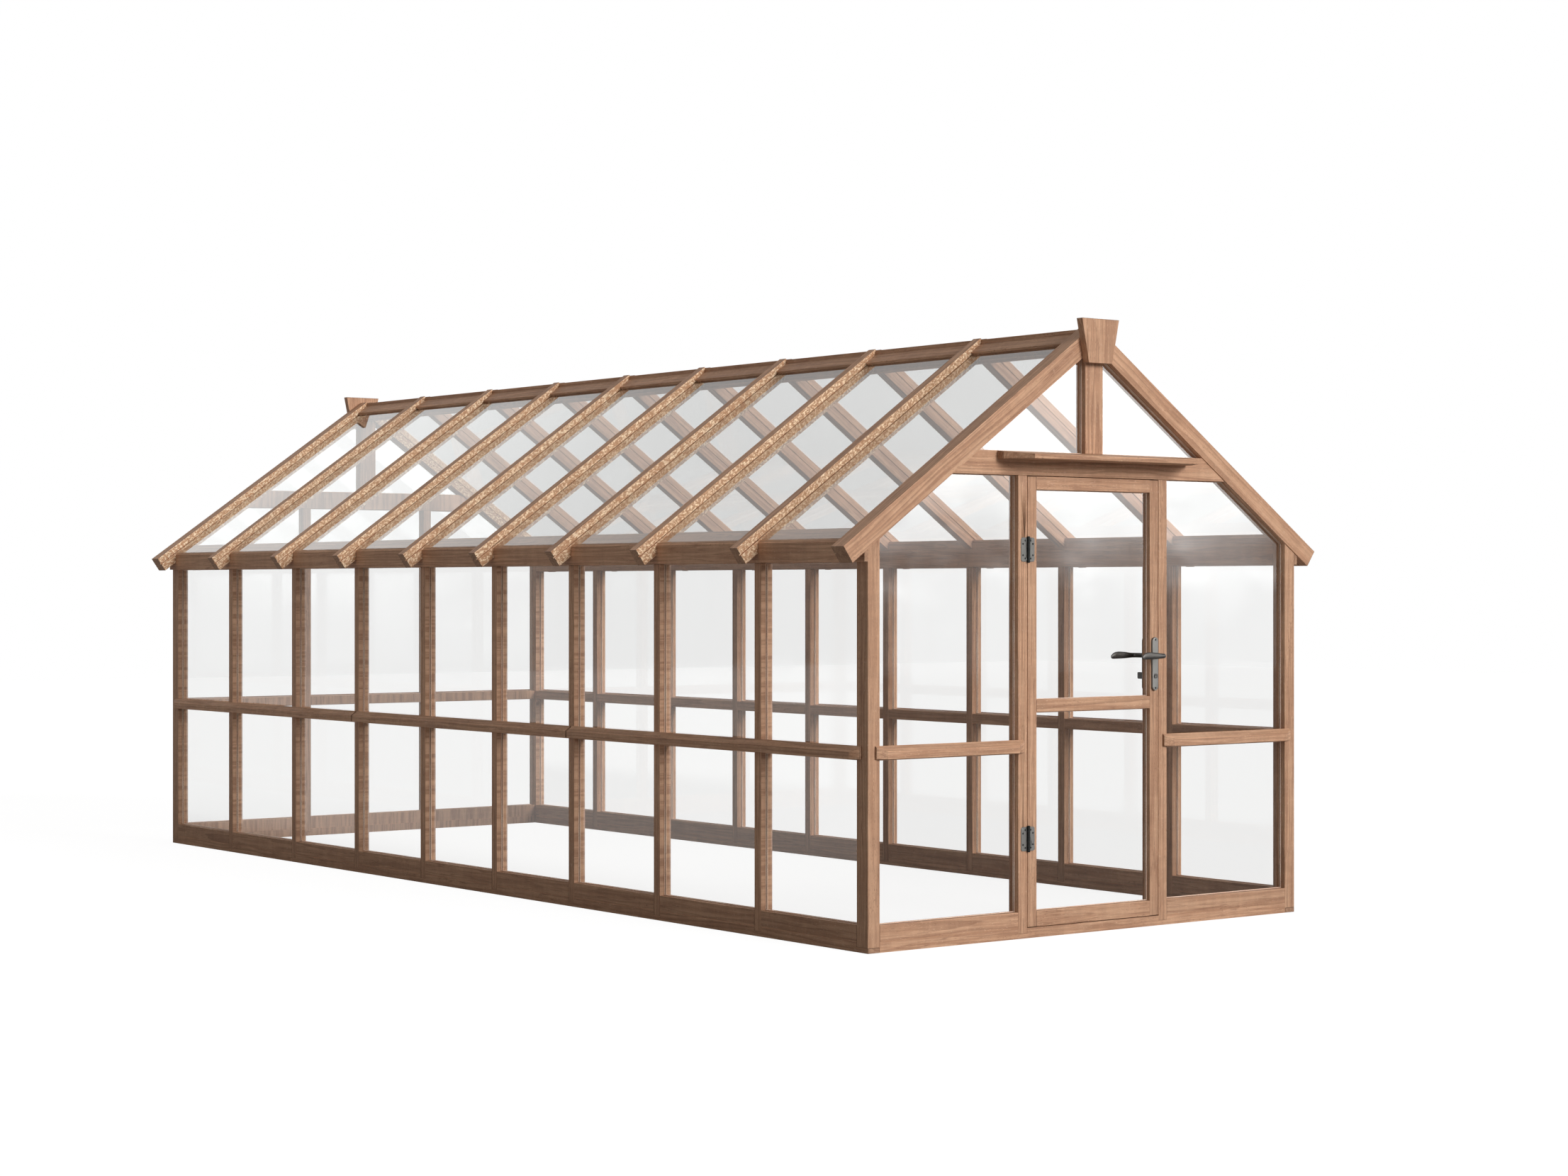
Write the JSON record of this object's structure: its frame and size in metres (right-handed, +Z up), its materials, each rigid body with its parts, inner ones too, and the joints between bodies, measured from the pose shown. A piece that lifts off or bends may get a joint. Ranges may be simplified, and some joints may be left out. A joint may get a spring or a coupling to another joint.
{
  "type": "wooden greenhouse",
  "caption": "Glazed timber-framed greenhouse with a pitched glass roof, cover rails and a hinged, glazed front door with lever handles.",
  "frame": {"origin": "centre of the whole object's footprint, on the ground under the sole plates", "axes": "+Z up, +Y from the door gable to the rear gable along the ridge, +X to the right seen from the door"},
  "size_m": [2.65, 6.328, 2.5231],
  "materials": {
    "timber": "planed softwood, oiled, matt",
    "glass": "clear float glass, polished",
    "fittings": "satin",
    "lever_metal": "satin",
    "screw_steel": "satin",
    "bolt_brass": "plated, satin"
  },
  "bodies": {
    "frame": {"sole_plate_front": "timber", "sole_plate_rear": "timber", "sole_plate_left": "timber", "sole_plate_right": "timber", "corner_posts_front": "timber", "corner_posts_rear": "timber", "studs_left": "timber", "studs_right": "timber", "rear_studs": "timber", "bottom_rails_front": "timber", "bottom_rails_rear": "timber", "bottom_rails_left": "timber", "bottom_rails_right": "timber", "noggings_front": "timber", "noggings_rear": "timber", "noggings_left": "timber", "noggings_right": "timber", "cover_rails_front": "timber", "cover_rails_rear": "timber", "cover_rails_left": "timber", "cover_rails_right": "timber", "eaves_plate_left": "timber", "eaves_plate_right": "timber", "rafters_left": "timber", "rafters_right": "timber", "gable_rafters_front": "timber", "gable_rafters_rear": "timber", "ridge_board": "timber", "ridge_beads": "timber", "tie_beam_front": "timber", "tie_beam_rear": "timber", "king_posts": "timber", "finials": "timber", "drip_hood": "timber", "door_jamb_left": "timber", "door_jamb_right": "timber", "door_stops": "timber", "glass_front": "glass", "glass_rear": "glass", "glass_left": "glass", "glass_right": "glass", "roof_glass_left": "glass", "roof_glass_right": "glass", "strike_plate": "fittings", "hinge_frame_leaves": "fittings", "hinge_pins": "screw_steel", "hinge_frame_screws": "screw_steel"},
    "door": {"door_stiles": "timber", "door_rails": "timber", "door_glass": "glass", "hinge_door_leaves": "fittings", "backplates": "fittings", "lock_case": "fittings", "hinge_door_screws": "screw_steel", "backplate_bolts": "screw_steel"},
    "handle": {"levers": "lever_metal", "spindle": "screw_steel"},
    "latch": {"latch_bolt": "bolt_brass"},
    "turn": {"thumb_turn": "lever_metal"},
    "bolt": {"dead_bolt": "bolt_brass"}
  },
  "joints": [
    {"name": "door_swing", "type": "hinge", "parent": "frame", "child": "door", "pos_m": [-0.3695, -3.023, 1], "axis": [0, 0, -1], "range_deg": [0, 150]},
    {"name": "lever_turn", "type": "hinge", "parent": "door", "child": "handle", "pos_m": [0.343, -3.016, 1.133], "axis": [0, -1, 0], "range_deg": [0, 40], "stiffness_Nm_per_rad": 1, "springref_deg": -45.84},
    {"name": "latch_slide", "type": "slide", "parent": "door", "child": "latch", "axis": [-1, 0, 0], "range_m": [0, 0.0112]},
    {"name": "thumb_turning", "type": "hinge", "parent": "door", "child": "turn", "pos_m": [0.343, -3.016, 1.048], "axis": [0, 1, 0], "range_deg": [0, 90]},
    {"name": "dead_bolt_slide", "type": "slide", "parent": "door", "child": "bolt", "axis": [1, 0, 0], "range_m": [0, 0.012]}
  ],
  "couplings": [
    {"joint": "latch_slide", "follows": "lever_turn", "m_per_rad": 0.015756},
    {"joint": "thumb_turning", "follows": "dead_bolt_slide", "rad_per_m": 130.89}
  ]
}
